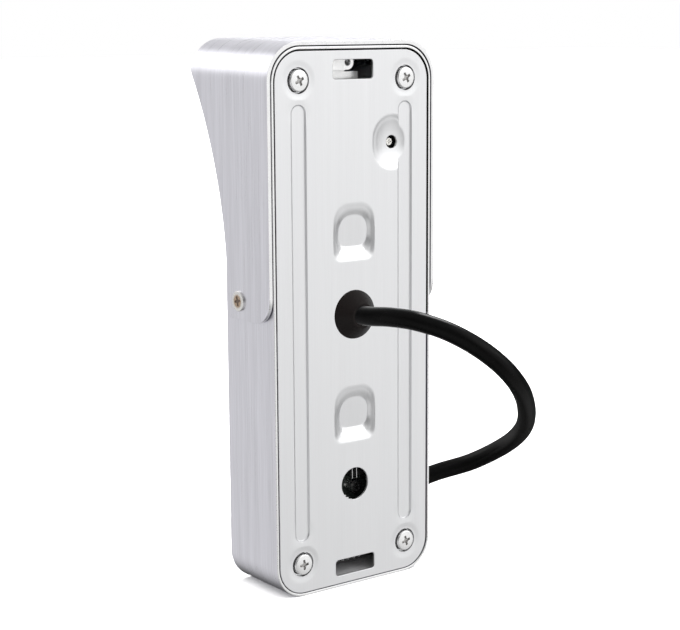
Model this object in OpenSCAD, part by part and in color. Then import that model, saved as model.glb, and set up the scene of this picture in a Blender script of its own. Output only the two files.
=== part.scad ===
// Outdoor video doorbell station with a rain hood, standing upright.
// Front faces -Y, back plate faces +Y, +Z is up. Millimetres.
// Origin: centre of the footprint of the station itself, on the surface it stands on.

/* [Housing] */
// Width of the housing
body_w = 46; // [44:0.5:48]
// Height of the housing
body_h = 128.9; // [127:0.1:132]
// Depth of the housing, front face to rear rim
body_d = 20; // [20:0.1:22]
// Radius of the housing's four long corners
corner_r = 8; // [7:0.5:9]
// Thickness of the side walls
wall = 2; // [1.8:0.1:2.1]
// Thickness of the front wall
front_wall = 2.4; // [2.2:0.1:2.5]

/* [Rain hood] */
// Depth of the hood at the top
hood_depth = 32.4; // [30:0.2:36]
// Thickness of the hood's sheet
hood_sheet = 0.9; // [0.8:0.1:1.2]
// Clearance between the hood and the housing
hood_gap = 0.25; // [0.1:0.05:0.3]
// Height of the hood's lower edge
hood_bottom = 66; // [62:0.5:68]
// Depth of the hood's side walls at their lower end
hood_foot_depth = 17.6; // [16:0.2:19]
// Radius of the concave front edge of the side walls
hood_sweep_r = 95; // [90:1:100]
// Height at which that curve begins
hood_sweep_z = 71.8; // [71:0.2:74]
// Rise of the hood's top towards the front, in degrees
hood_rise = 1.2; // [0:0.2:2]
// Radius of the hood's lower rear corners
hood_corner_r = 6; // [3:0.5:7]
// Radius of the hood's lower front corners
hood_front_corner_r = 1.5; // [1:0.5:2]

/* [Back plate] */
// Thickness of the plate
plate_t = 1; // [0.8:0.1:1]
// Gap from the housing's outside to the plate's edge
plate_margin = 1; // [1:0.1:1.2]
// Clearance between the plate and the rim around it
plate_gap = 0.35; // [0.2:0.05:0.4]
// How far the plate lies below the rim
plate_inset = 0.15; // [0.1:0.05:0.2]
// Depth of the pressed grooves and of the trimmer dish, which opens into one of them
groove_depth = 0.8; // [0.4:0.1:0.8]
// Depth of the pressed pads and the screw dimples
pad_depth = 1.2; // [0.8:0.1:1.2]
// Distance of each groove's centre from the middle
groove_x = 15.4; // [15:0.1:16]
// Width of each groove
groove_w = 4.1; // [3.5:0.1:4.5]
// Height of the grooves' lower and upper ends
groove_z = [13.3, 115.9];
// Width of the hanging slots at the top and the bottom
slot_w = 11.6; // [10:0.1:12]
// Diameter of the round access hole
access_d = 7.8; // [7:0.1:8.5]
// Height of the access hole
access_z = 25; // [24:0.5:26]

/* [Screws] */
// Diameter of the back plate screws' heads
plate_head_d = 5; // [4.8:0.1:5.5]
// Diameter of those screws' threads
plate_thread_d = 2.4; // [2.2:0.1:2.5]
// Diameter of the hood screws' heads
hood_head_d = 4.8; // [4.4:0.1:5]
// Height of the hood screws' heads
hood_head_h = 0.5; // [0.4:0.1:1]
// Height of the hood screws
hood_screw_z = 70.3; // [69:0.1:73]

/* [Camera] */
// Height of the lens above the base
cam_z = 104; // [103:0.5:105]
// Width and height of the camera window
window_size = [36, 34];
// Diameter of the lens barrel
barrel_d = 9; // [8:0.5:10]
// Number of infrared lamps around the lens
lamp_count = 8; // [6:2:8]

/* [Loudspeaker] */
// Diameter of the loudspeaker
speaker_d = 28; // [26:1:28]
// Height of its centre
speaker_z = 64; // [63.5:0.5:64.5]
// Distance between the holes of the grille
grille_pitch = 3.2; // [3:0.1:3.6]

/* [Call button] */
// Diameter of the button's cap
button_d = 20; // [18:0.5:20]
// Height of the button's centre
button_z = 27; // [26.5:0.5:27.5]
// Travel of the button
button_travel = 0.6; // [0.4:0.1:0.6]

/* [Boards] */
// Thickness of the main board
board_t = 1.2; // [1:0.1:1.2]
// Position of the volume trimmer, across and up
trimmer_at = [-12, 106.3];

/* [Cable] */
// Outside diameter of the cable
cable_d = 4.6; // [4:0.1:5]
// Height at which the cable leaves the back plate
cable_z = 66.3; // [66:0.1:67]
// How far the grommet stands out of the back plate
grommet_h = 3.2; // [2.5:0.1:4]

/* [Hidden] */
$fn = 64;
// A cut that has to pass a face runs past it by this much.
past = 0.5;
rear_y = (hood_depth - grommet_h) / 2;
cavity_y = -body_d + front_wall;
plate_w = body_w - 2 * plate_margin;
plate_h = body_h - 2 * plate_margin;
plate_r = corner_r - plate_margin;
mid_z = body_h / 2;
plate_y = -plate_inset - plate_t;
gasket_t = 0.6;
ledge_y = plate_y - gasket_t;
board_y = -6;
hood_w = body_w + 2 * (hood_gap + hood_sheet);
plate_screw_x = 15.4;
plate_screw_z = [7.8, 121.3];
plate_screws_at = [for (z = plate_screw_z) for (s = [-1, 1]) [s * plate_screw_x, z]];
hood_screw_y = -12.7;
top_slot_z = [121.3, 125.8];
bottom_slot_z = [2.8, 6.7];
pads_z = [42.2, 85.8];
boss_r = 2.8;
plate_hole_r = 1.25;
post_r = 2.2;
button_post_r = 1.9;
post_hole_r = 0.9;
board_posts = [for (z = [20, 84]) for (s = [-1, 1]) [s * 16.5, z]];
button_posts = [for (z = [11.5, 43.5]) for (s = [-1, 1]) [s * 10.5, z]];
bracket_posts = [for (s = [-1, 1]) [s * 18.2, cam_z]];
window_y = -body_d + 1.1;
seal_t = 0.2;
lens_back_y = -9.9;
camera_board_y = -8.9;
bracket_y = -8.1;
lamp_ring_y = -13.6;
trimmer_tip_y = -2.1;
ring_out_r = button_d / 2 + 2.4;
ring_in_r = button_d / 2 + 0.1;
button_board_y = -11;
mic_z = 7.5;
// Route of the cable's centre line, from its inner end to the plug.
route = [
  [0, -3, 66.3], [0, 1, 66.3], [-0.2, 6, 66.6], [-1.4, 12, 67.1], [-4.2, 18.2, 66.7],
  [-9, 23.8, 64.5], [-15, 27.8, 60.4], [-21.6, 28.9, 55.1], [-28.6, 26.6, 49.1],
  [-35.4, 21.5, 42.9], [-41.8, 14.4, 36.4], [-46.6, 6, 30.6], [-48.5, -2.5, 25.4],
  [-46.6, -11.5, 20.2], [-41, -20, 16.2], [-34.2, -28, 11.1], [-27, -34.8, 6.2],
  [-22.9, -37.8, 4.2], [-19, -40, 3.5]
];
plug_at = [-19, -40, 3.5];
plug_turn = -29.4;

// ---- Shapes that repeat ----

// Moves the working frame, with y = 0 at the rear rim, to the part's own origin.
module place() translate([0, rear_y, 0]) children();

// Extrudes a profile drawn in (x, z) from y0 to y1.
module slab(y0, y1) translate([0, y1, 0]) rotate([90, 0, 0]) linear_extrude(y1 - y0) children();

// A round bar along Y at (x, z).
module bar(r, y0, y1, at = [0, 0]) slab(y0, y1) translate(at) circle(r);

// A rectangle with round corners, centred.
module round_rect(w, h, r) {
  square([w - 2 * r, h], center = true);
  square([w, h - 2 * r], center = true);
  for (sx = [-1, 1]) for (sz = [-1, 1])
    translate([sx * (w / 2 - r), sz * (h / 2 - r)]) circle(r);
}

// A box centred on (x, z) at `at`, from y0 to y1.
module block(w, h, y0, y1, at = [0, 0]) slab(y0, y1) translate(at) square([w, h], center = true);

// What to cut away to round an outside corner at the origin, whose shape lies towards (side, 1).
module corner_cut(r, side) mirror([side < 0 ? 1 : 0, 0]) difference() {
  translate([-past, -past]) square([r + past, r + past]);
  translate([r, r]) circle(r);
}

// A pan-head cross-recess screw along +Y: its head stands on y = 0 and its thread goes to -length.
module pan_screw(head_r, head_h, thread_r, length) {
  dome = head_h * 0.45;
  difference() {
    union() {
      bar(head_r, 0, head_h - dome);
      rotate([-90, 0, 0]) rotate_extrude() polygon([
        [0, head_h - dome], [head_r, head_h - dome], [head_r * 0.93, head_h - dome * 0.45],
        [head_r * 0.74, head_h - dome * 0.1], [head_r * 0.5, head_h], [0, head_h]
      ]);
      bar(thread_r, -length, 0);
    }
    for (turn = [0, 90]) rotate([0, turn, 0])
      translate([0, head_h, 0]) cube([head_r * 1.05, head_h * 1.1, head_r * 0.26], center = true);
  }
}

// ---- Sweeping a round tube along points ----

function unit(v) = v / norm(v);
function along(p, i) = unit(p[min(i + 1, len(p) - 1)] - p[max(i - 1, 0)]);
function circle_at(c, t, side, r, n) =
  let (u = unit(cross(side, t)), v = cross(t, u))
  [for (k = [0 : n - 1]) c + r * (cos(360 * k / n) * u + sin(360 * k / n) * v)];
function curve_point(a, b, c, d, t) =
  0.5 * (2 * b + (c - a) * t + (2 * a - 5 * b + 4 * c - d) * t * t + (3 * b - a - 3 * c + d) * t * t * t);
// A smooth curve through the points, with `steps` stretches between each two.
function smooth(p, steps) =
  let (m = len(p) - 1)
  concat(
    [for (i = [0 : m - 1]) for (k = [0 : steps - 1])
      curve_point(
        i == 0 ? 2 * p[0] - p[1] : p[i - 1], p[i], p[i + 1],
        i == m - 1 ? 2 * p[m] - p[m - 1] : p[i + 2], k / steps
      )],
    [p[m]]
  );

// A closed tube along points p; `side` is a direction that the path never takes.
module sweep(p, r, n, side) {
  m = len(p);
  points = [for (i = [0 : m - 1]) each circle_at(p[i], along(p, i), side, r, n)];
  sides = [for (i = [0 : m - 2]) for (k = [0 : n - 1])
    let (a = i * n + k, b = i * n + (k + 1) % n) each [[a, a + n, b + n], [a, b + n, b]]];
  polyhedron(
    points = points,
    faces = concat([[for (k = [0 : n - 1]) k]], [[for (k = [0 : n - 1]) m * n - 1 - k]], sides)
  );
}

// ---- Housing, hood and back ----

module front_housing() color("silver") place() {
  window_cut = 4.5;
  difference() {
    union() {
      difference() {
        slab(-body_d, 0) translate([0, mid_z]) round_rect(body_w, body_h, corner_r);
        slab(cavity_y, past) translate([0, mid_z])
          round_rect(body_w - 2 * wall, body_h - 2 * wall, corner_r - wall);
        slab(ledge_y, past) translate([0, mid_z])
          round_rect(plate_w + 2 * plate_gap, plate_h + 2 * plate_gap, plate_r + plate_gap);
      }
      for (at = plate_screws_at) bar(boss_r, cavity_y, plate_y - pad_depth, at);
      for (at = board_posts) bar(post_r, cavity_y, board_y - board_t, at);
      for (at = button_posts) bar(button_post_r, cavity_y, button_board_y - 1, at);
      for (at = bracket_posts) bar(post_r, cavity_y, camera_board_y, at);
      for (s = [-1, 1]) translate([s * (body_w / 2 - wall - 1.2), hood_screw_y, hood_screw_z])
        rotate([0, 90, 0]) cylinder(r = 2.6, h = 2.6, center = true);
    }
    for (at = plate_screws_at) bar(plate_hole_r, -11, 0, at);
    for (at = board_posts) bar(post_hole_r, -14, 0, at);
    for (at = button_posts) bar(post_hole_r, -16.5, 0, at);
    for (at = bracket_posts) bar(post_hole_r, -14, 0, at);
    translate([0, hood_screw_y, hood_screw_z]) rotate([0, 90, 0])
      cylinder(r = 1.25, h = body_w + 2, center = true);
    slab(-body_d - past, window_y + seal_t) translate([0, cam_z])
      round_rect(window_size[0] + 0.2, window_size[1] + 0.2, 4.1);
    slab(-body_d - past, 0) translate([0, cam_z])
      round_rect(window_size[0] - window_cut, window_size[1] - window_cut, 2);
    for (row = [-3 : 3]) for (k = [0 : 6 - abs(row)])
      bar(0.7, -body_d - past, -15,
        [(k - (6 - abs(row)) / 2) * grille_pitch, speaker_z + row * grille_pitch * sin(60)]);
    bar(ring_out_r + 0.05, -body_d - past, -15, [0, button_z]);
    bar(0.75, -body_d - past, -15, [0, mic_z]);
  }
}

module hood_profile() difference() {
  translate([0, body_h + hood_gap + hood_sheet - 50]) round_rect(hood_w, 100, corner_r + hood_sheet);
  translate([0, body_h + hood_gap - 50])
    round_rect(hood_w - 2 * hood_sheet, 100, corner_r);
}

// The hood's side view, drawn in (y, z).
module hood_side() difference() {
  translate([-hood_depth, hood_bottom]) square([hood_depth, 70]);
  translate([-hood_foot_depth - hood_sweep_r, hood_sweep_z]) circle(hood_sweep_r, $fn = 180);
  translate([-hood_depth - 1, hood_bottom - 1])
    square([hood_depth + 1 - hood_foot_depth, hood_sweep_z - hood_bottom + 1]);
  translate([0, hood_bottom]) corner_cut(hood_corner_r, -1);
  translate([-hood_foot_depth, hood_bottom]) corner_cut(hood_front_corner_r, 1);
}

module rain_hood() color("gainsboro") place() difference() {
  intersection() {
    translate([0, 0, body_h + hood_gap + hood_sheet]) rotate([-hood_rise, 0, 0])
      translate([0, 0, -body_h - hood_gap - hood_sheet]) slab(-hood_depth - 5, 5) hood_profile();
    rotate([90, 0, 90]) translate([0, 0, -hood_w]) linear_extrude(2 * hood_w) hood_side();
  }
  translate([0, hood_screw_y, hood_screw_z]) rotate([0, 90, 0])
    cylinder(r = 1.4, h = hood_w + 2, center = true);
}

module hood_screws() color("tan") place() for (s = [-90, 90])
  translate([sign(s) * hood_w / 2, hood_screw_y, hood_screw_z]) rotate([0, 0, -s])
    pan_screw(hood_head_d / 2, hood_head_h, 1.2, 4.2);

module groove_shape(grow) for (s = [-1, 1]) {
  ends = [groove_z[0] + groove_w / 2, groove_z[1] - groove_w / 2];
  translate([s * groove_x, (ends[0] + ends[1]) / 2])
    square([groove_w + 2 * grow, ends[1] - ends[0]], center = true);
  for (z = ends) translate([s * groove_x, z]) circle(groove_w / 2 + grow);
}
module pad_shape(grow) for (z = pads_z) translate([0, z])
  round_rect(10.2 + 2 * grow, 11.4 + 2 * grow, 4 + grow);
module dish_shape(grow) translate(trimmer_at) circle(5.4 + grow);
module dimple_shape(grow) for (at = plate_screws_at) translate(at) circle(2.95 + grow);

module back_plate() color("whitesmoke") place() {
  out_y = -plate_inset;
  difference() {
    union() {
      slab(plate_y, out_y) translate([0, mid_z]) round_rect(plate_w, plate_h, plate_r);
      slab(plate_y - groove_depth, plate_y) { groove_shape(0); dish_shape(0.4); }
      slab(plate_y - pad_depth, plate_y) pad_shape(0.4);
      slab(plate_y - pad_depth, plate_y) intersection() {
        dimple_shape(0.4);
        translate([0, mid_z]) round_rect(plate_w - 2, plate_h - 2, plate_r - 1);
      }
    }
    slab(out_y - groove_depth, past) { groove_shape(-0.4); dish_shape(0); }
    slab(out_y - pad_depth, past) { pad_shape(-0.2); dimple_shape(0); }
    for (at = plate_screws_at) bar(1.45, -5, past, at);
    bar(1.55, -5, past, trimmer_at);
    bar(access_d / 2, -5, past, [0, access_z]);
    bar(4.5, -5, past, [0, cable_z]);
    for (z = [top_slot_z, bottom_slot_z]) slab(-5, past)
      translate([0, (z[0] + z[1]) / 2]) round_rect(slot_w, z[1] - z[0], 0.8);
  }
}

module back_gasket() color("dimgray") place() slab(ledge_y, plate_y) translate([0, mid_z])
  difference() {
    round_rect(plate_w + 2 * plate_gap - 0.1, plate_h + 2 * plate_gap - 0.1, plate_r + plate_gap - 0.05);
    round_rect(body_w - 2 * wall, body_h - 2 * wall, corner_r - wall);
  }

module back_plate_screws() color("lightgray") place() for (at = plate_screws_at)
  translate([at[0], -plate_inset - pad_depth, at[1]])
    pan_screw(plate_head_d / 2, 1.7, plate_thread_d / 2, 8.5);

// ---- Cable ----

module cable_grommet() color("#2a2725") place() translate([0, 0, cable_z]) rotate([-90, 0, 0])
  rotate_extrude() polygon([
    [cable_d / 2, plate_y - 1.2], [5.9, plate_y - 1.2], [5.9, plate_y], [4.4, plate_y],
    [4.4, -plate_inset], [5.8, -plate_inset], [5.75, 0.35], [5.3, 0.9], [4.3, 1.9],
    [3.7, 2.5], [3.35, grommet_h], [cable_d / 2, grommet_h]
  ]);

module cable() color("#171717") place() sweep(smooth(route, 4), cable_d / 2, 10, [0, 0, 1]);

module cable_plug() color("#202020") place() translate(plug_at) rotate([0, 0, plug_turn]) difference() {
  union() {
    rotate([0, 90, 0]) translate([0, 0, -2]) cylinder(r = 3.2, h = 7);
    translate([5, 0, 0]) rotate([90, 0, 90]) linear_extrude(15) round_rect(12, 7, 1.5);
  }
  rotate([0, 90, 0]) translate([0, 0, -3]) cylinder(r = cable_d / 2, h = 6);
  translate([13, 0, 0]) rotate([90, 0, 90]) linear_extrude(8) round_rect(10.4, 5.4, 1);
}

module plug_contacts() color("gold") place() translate(plug_at) rotate([0, 0, plug_turn])
  for (k = [-1.5 : 1.5]) translate([13, k * 2.4, 0]) rotate([0, 90, 0]) cylinder(r = 0.45, h = 5.5);

// ---- Camera ----

module camera_window() color("#101010") place() slab(-body_d, window_y) translate([0, cam_z])
  round_rect(window_size[0], window_size[1], 4);

module window_seal() color("#303030") place() slab(window_y, window_y + seal_t)
  translate([0, cam_z]) difference() {
    round_rect(window_size[0] - 0.4, window_size[1] - 0.4, 3.8);
    round_rect(window_size[0] - 4.5, window_size[1] - 4.5, 2);
  }

module lens_barrel() color("#161616") place() difference() {
  union() {
    bar(barrel_d / 2, -18.2, -11.2, [0, cam_z]);
    bar(barrel_d / 2 + 0.6, -18.2, -16.4, [0, cam_z]);
  }
  bar(3.1, -18.3, -16.8, [0, cam_z]);
  bar(2.2, -17, -11, [0, cam_z]);
}

module lens_glass() color("#34405a") place() translate([0, 0, cam_z]) rotate([90, 0, 0])
  intersection() {
    translate([0, 0, 16.9]) cylinder(r = 3.05, h = 1.2);
    translate([0, 0, 11]) sphere(r = 7.1, $fn = 96);
  }

module lens_holder() color("#1c1c1c") place() difference() {
  block(13, 13, lamp_ring_y, lens_back_y, [0, cam_z]);
  bar(barrel_d / 2 + 0.05, lamp_ring_y - 1, -11, [0, cam_z]);
  block(8, 8, -11.01, lens_back_y + 1, [0, cam_z]);
}

module image_sensor() color("#2f3b46") place() block(6.4, 6.4, lens_back_y - 0.9, lens_back_y, [0, cam_z]);

module camera_board() color("#101512") place()
  block(26, 26, lens_back_y, camera_board_y, [0, cam_z]);

module board_spacers() color("goldenrod") place() for (sx = [-1, 1]) for (sz = [-1, 1])
  bar(1.5, lamp_ring_y, lens_back_y, [sx * 11, cam_z + sz * 11]);

module infrared_board() color("#101512") place() difference() {
  block(30, 28, lamp_ring_y - 1, lamp_ring_y, [0, cam_z]);
  bar(5.3, -20, -10, [0, cam_z]);
}

module infrared_lamps() color("#2b2233") place() for (k = [0 : lamp_count - 1]) {
  turn = 360 * (k + 0.5) / lamp_count;
  translate([10.5 * cos(turn), lamp_ring_y - 1, cam_z + 10.5 * sin(turn)]) rotate([90, 0, 0]) {
    cylinder(r = 1.9, h = 0.8);
    cylinder(r = 1.5, h = 2.4);
    intersection() {
      translate([0, 0, 2.4]) sphere(r = 1.5);
      translate([0, 0, 2.4]) cylinder(r = 2, h = 2);
    }
  }
}

module light_sensor() color("sandybrown") place()
  bar(2, lamp_ring_y - 2.8, lamp_ring_y - 1, [0, cam_z - 11.9]);

module camera_bracket() color("lightgray") place() difference() {
  union() {
    block(26, 30, camera_board_y, bracket_y, [0, cam_z]);
    block(40.8, 6, camera_board_y, bracket_y, [0, cam_z]);
    block(17, 3.1, camera_board_y, bracket_y, [4, cam_z + 16.4]);
    block(17, 0.8, camera_board_y, -4.4, [4, 120.7]);
    block(17, 1.9, -5.4, -4.4, [4, 122]);
    block(1, 6, -5.4, -2.4, [12, 123.9]);
    block(12.6, 3.4, -3.4, -2.4, [6.2, 125.1]);
    bar(1.7, -5.4, -2.4, [-0.1, 125.1]);
    block(3.6, 3, -5.4, -3.4, [1.9, 122.6]);
  }
  bar(0.85, -6, 0, [-0.1, 125.1]);
  block(10, 4, -10, -7, [0, cam_z + 8]);
  for (at = bracket_posts) bar(1.1, -10, -7, at);
}

module bracket_screws() color("lightgray") place() for (at = bracket_posts) {
  bar(1.9, bracket_y, bracket_y + 0.8, at);
  bar(0.85, bracket_y - 5, bracket_y, at);
}

module board_connector() color("ivory") place()
  block(9, 3, camera_board_y, board_y - board_t, [0, cam_z + 8]);

// ---- Sound ----

module speaker_mesh() color("#262626") place() bar(13, cavity_y, cavity_y + 0.2, [0, speaker_z]);

module speaker_basket() color("darkgray") place() difference() {
  bar(speaker_d / 2, cavity_y + 0.2, -13.2, [0, speaker_z]);
  bar(speaker_d / 2 - 1.4, cavity_y - 1, -14, [0, speaker_z]);
  for (turn = [0 : 60 : 300])
    bar(1.3, -15, -12, [10 * cos(turn), speaker_z + 10 * sin(turn)]);
}

module speaker_surround() color("#202020") place() translate([0, 0, speaker_z]) rotate([-90, 0, 0])
  rotate_extrude() translate([12.05, -16.6]) difference() {
    circle(0.55, $fn = 32);
    circle(0.3, $fn = 32);
    translate([-1, 0]) square([2, 1]);
  }

module speaker_cone() color("#3a3a3c") place() translate([0, 0, speaker_z]) rotate([-90, 0, 0])
  rotate_extrude() polygon([
    [0, -16.4], [2.4, -16.2], [4, -15.6], [11.2, -16.8], [11.2, -16.5], [4.3, -15.2], [4.3, -14.4],
    [3.9, -14.4], [3.9, -15.2], [2.2, -15.8], [0, -16]
  ]);

module speaker_magnet() color("gray") place() bar(7.2, -13.2, -9.6, [0, speaker_z]);

module microphone_boot() color("#242424") place() difference() {
  bar(3.6, cavity_y, -14.4, [0, mic_z]);
  bar(0.75, cavity_y - 1, -14, [0, mic_z]);
  bar(3, cavity_y + 0.6, -14, [0, mic_z]);
}

module microphone() color("lightgray") place() bar(2.95, cavity_y + 0.6, -14.8, [0, mic_z]);

// ---- Call button ----

module call_button() color("gainsboro") place() translate([0, 0, button_z]) rotate([-90, 0, 0])
  rotate_extrude() {
    cap = button_d / 2;
    polygon([
      [0, -20.6], [cap - 2, -20.8], [cap - 0.5, -20.7], [cap, -20.2], [cap, -16.5], [cap + 1.2, -16.5],
      [cap + 1.2, -15.6], [cap - 1.4, -15.6], [cap - 1.4, -19.2], [2.2, -19.2], [2.2, -15.4], [0, -15.4]
    ]);
  }

module button_light_ring() color("aliceblue") place() translate([0, 0, button_z]) rotate([-90, 0, 0])
  rotate_extrude() polygon([
    [ring_in_r, -20], [ring_in_r + 0.3, -20.25], [ring_out_r - 0.4, -20.25], [ring_out_r, -19.9],
    [ring_out_r, cavity_y], [ring_out_r + 1.3, cavity_y], [ring_out_r + 1.3, -16.8], [ring_in_r, -16.8]
  ]);

module button_spring() color("silver") place() {
  turns = 4;
  steps = 16;
  low = -18.8;
  high = -12.4;
  coil_r = 6;
  coil = [for (k = [0 : turns * steps]) let (turn = 360 * k / steps) [
    coil_r * cos(turn), low + (high - low) * k / (turns * steps), button_z + coil_r * sin(turn)
  ]];
  sweep(coil, 0.35, 8, [0, 1, 0]);
}

module switch_body() color("#1b1b1b") place() difference() {
  block(6, 6, -14.6, button_board_y - 1, [0, button_z]);
  bar(1.6, -15, -13, [0, button_z]);
}

module switch_plunger() color("#8c2f1f") place() bar(1.55, -15.3, -13.8, [0, button_z]);

module button_board() color("#101512") place() difference() {
  block(27.6, 36.4, button_board_y - 1, button_board_y, [0, 27.5]);
  for (at = button_posts) bar(1.1, -14, -8, at);
  for (at = plate_screws_at) bar(boss_r + 0.3, -14, -8, at);
}

module button_board_screws() color("lightgray") place() for (at = button_posts) {
  bar(1.7, button_board_y, button_board_y + 1.1, at);
  bar(0.85, button_board_y - 4.5, button_board_y, at);
}

module button_leds() color("lightyellow") place() for (turn = [45 : 90 : 315])
  block(3, 2.8, -13.6, button_board_y - 1, [11 * cos(turn), button_z + 11 * sin(turn)]);

// ---- Main board ----

module main_board() color("#101512") place() difference() {
  block(38, 105, board_y - board_t, board_y, [0, 64.5]);
  for (at = board_posts) bar(1.1, -9, -3, at);
}

module main_board_screws() color("lightgray") place() for (at = board_posts) {
  bar(1.9, board_y, board_y + 1.3, at);
  bar(0.85, board_y - 6.5, board_y, at);
}

module board_chips() color("#1a1a1a") place() {
  block(10, 10, board_y, board_y + 1.2, [8, 98]);
  block(6, 5, board_y, board_y + 1.4, [-9, 32]);
  block(5, 4, board_y, board_y + 1.2, [4.5, 21.5]);
  block(7, 7, board_y - board_t - 1.2, board_y - board_t, [9, 57]);
  block(5, 6, board_y - board_t - 1.2, board_y - board_t, [-10, 72]);
}

module board_capacitors() color("#30343c") place() {
  for (x = [-7.5, 7.5]) bar(3.2, -14.4, board_y - board_t, [x, 82.3]);
  for (at = [[-2.4, 27.4], [-3, 23], [11, 88]]) bar(1.6, board_y, board_y + 2.2, at);
}

module cable_socket() color("ivory") place() difference() {
  block(11, 5, board_y, -3, [0, 48.5]);
  block(9.4, 4, -5, -3.6, [0, 49.5]);
}

module cable_socket_plug() color("white") place() block(9.2, 5, -4.9, -3.7, [0, 50]);

module inner_wires() color("firebrick") place() for (k = [-1.5 : 1.5]) sweep(smooth([
  [k, -3, cable_z], [k, -3.8, cable_z], [k, -4.6, cable_z - 0.9], [k * 1.1, -4.9, cable_z - 3],
  [k * 1.7, -4.7, cable_z - 6], [k * 2.2, -4.3, cable_z - 10], [k * 2.2, -4.3, 52.5]
], 2), 0.42, 8, [1, 0, 0]);

module trimmer_body() color("#181818") place() difference() {
  block(6, 6, board_y, -3.6, trimmer_at);
  bar(1.7, -4.5, -3, trimmer_at);
}

module trimmer_rotor() color("lightgoldenrodyellow") place() difference() {
  union() {
    bar(1.6, -4.4, -3.7, trimmer_at);
    bar(0.85, -3.8, trimmer_tip_y, trimmer_at);
  }
  for (turn = [0, 90]) translate([trimmer_at[0], trimmer_tip_y, trimmer_at[1]]) rotate([0, turn, 0])
    cube([1.2, 0.6, 0.3], center = true);
}

front_housing();
rain_hood();
hood_screws();
back_plate();
back_gasket();
back_plate_screws();
cable_grommet();
cable();
cable_plug();
plug_contacts();
camera_window();
window_seal();
lens_barrel();
lens_glass();
lens_holder();
image_sensor();
camera_board();
board_spacers();
infrared_board();
infrared_lamps();
light_sensor();
camera_bracket();
bracket_screws();
board_connector();
speaker_mesh();
speaker_basket();
speaker_surround();
speaker_cone();
speaker_magnet();
microphone_boot();
microphone();
call_button();
button_light_ring();
button_spring();
switch_body();
switch_plunger();
button_board();
button_board_screws();
button_leds();
main_board();
main_board_screws();
board_chips();
board_capacitors();
cable_socket();
cable_socket_plug();
inner_wires();
trimmer_body();
trimmer_rotor();
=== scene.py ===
import math

import bmesh
import bpy
import numpy as np
from mathutils import Matrix, Quaternion, Vector, geometry

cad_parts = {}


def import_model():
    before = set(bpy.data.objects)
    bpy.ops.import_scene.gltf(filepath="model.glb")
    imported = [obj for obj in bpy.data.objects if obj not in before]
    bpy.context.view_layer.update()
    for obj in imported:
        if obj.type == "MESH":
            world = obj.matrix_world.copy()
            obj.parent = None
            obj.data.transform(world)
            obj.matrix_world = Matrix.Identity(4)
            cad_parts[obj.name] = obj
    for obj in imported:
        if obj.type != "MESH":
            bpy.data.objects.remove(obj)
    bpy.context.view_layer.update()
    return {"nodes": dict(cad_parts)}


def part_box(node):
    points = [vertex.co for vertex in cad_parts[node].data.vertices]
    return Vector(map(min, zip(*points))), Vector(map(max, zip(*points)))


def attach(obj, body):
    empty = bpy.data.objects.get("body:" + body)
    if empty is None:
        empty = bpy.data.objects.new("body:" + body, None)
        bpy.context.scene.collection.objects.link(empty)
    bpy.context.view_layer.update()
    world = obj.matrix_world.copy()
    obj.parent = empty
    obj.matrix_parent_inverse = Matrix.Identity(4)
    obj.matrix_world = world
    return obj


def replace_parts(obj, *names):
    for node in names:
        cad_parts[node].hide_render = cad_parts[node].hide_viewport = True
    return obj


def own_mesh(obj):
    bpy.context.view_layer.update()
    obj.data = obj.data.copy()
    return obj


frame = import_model()

# The looks of an outdoor video doorbell station: a brushed aluminium case with a folded rain hood,
# a pressed steel back plate, a short cable, and the camera, loudspeaker and call button in front.
# Everything is in metres. `spot` reads points the way the part's own drawing gives them: in
# millimetres, with y = 0 at the case's rear rim.

MM = 0.001
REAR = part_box("front_housing")[1].y


def spot(x, y, z):
    return Vector((x * MM, REAR + y * MM, z * MM))


def extent(node):
    """The lowest and the highest corner of a CAD node, in the drawing's millimetres."""
    return [Vector((p.x, p.y - REAR, p.z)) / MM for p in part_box(node)]


def middle(node):
    """The centre of a CAD node, in the drawing's millimetres."""
    low, high = extent(node)
    return (low + high) / 2


# ---- camera, light and floor

CAMERA_AT = Vector((0.23093, 0.32108, 0.13371))
CAMERA_AIM = Vector((-0.00201, 0.00608, 0.06473))
CAMERA_ROLL = -0.354  # degrees
CAMERA_LENS = 87.38  # millimetres, on a sensor 36 mm wide


def linked(name, data):
    """A new object in the scene."""
    made = bpy.data.objects.new(name, data)
    bpy.context.scene.collection.objects.link(made)
    return made


def camera():
    data = bpy.data.cameras.new("camera")
    data.lens = CAMERA_LENS
    data.sensor_width = 36
    data.clip_start = 0.01
    made = linked("camera", data)
    made.location = CAMERA_AT
    made.rotation_mode = "QUATERNION"
    roll = Quaternion((0, 0, 1), math.radians(CAMERA_ROLL))
    made.rotation_quaternion = (CAMERA_AIM - CAMERA_AT).to_track_quat("-Z", "Y") @ roll
    bpy.context.scene.camera = made


def add(tree, kind, settings=None, **inputs):
    """A shader node with its settings and inputs. An input called i0, i1 ... is taken by its place."""
    node = tree.nodes.new("ShaderNode" + kind)
    for name, value in (settings or {}).items():
        setattr(node, name, value)
    for name, value in inputs.items():
        by_place = name[0] == "i" and name[1:].isdigit()
        socket = node.inputs[int(name[1:]) if by_place else name.replace("_", " ")]
        if isinstance(value, bpy.types.NodeSocket):
            tree.links.new(value, socket)
        else:
            socket.default_value = value
    return node


def math_node(tree, operation, *values):
    inputs = {f"i{k}": value for k, value in enumerate(values)}
    return add(tree, "Math", {"operation": operation}, **inputs).outputs[0]


def vector_math(tree, operation, one, two=(0, 0, 0), output="Vector"):
    return add(tree, "VectorMath", {"operation": operation}, i0=one, i1=two).outputs[output]


def span(tree, value, low, high, to_low, to_high, kind="SMOOTHSTEP"):
    """value from low..high carried to to_low..to_high."""
    return add(
        tree, "MapRange", {"interpolation_type": kind}, Value=value,
        From_Min=low, From_Max=high, To_Min=to_low, To_Max=to_high,
    ).outputs["Result"]


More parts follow.
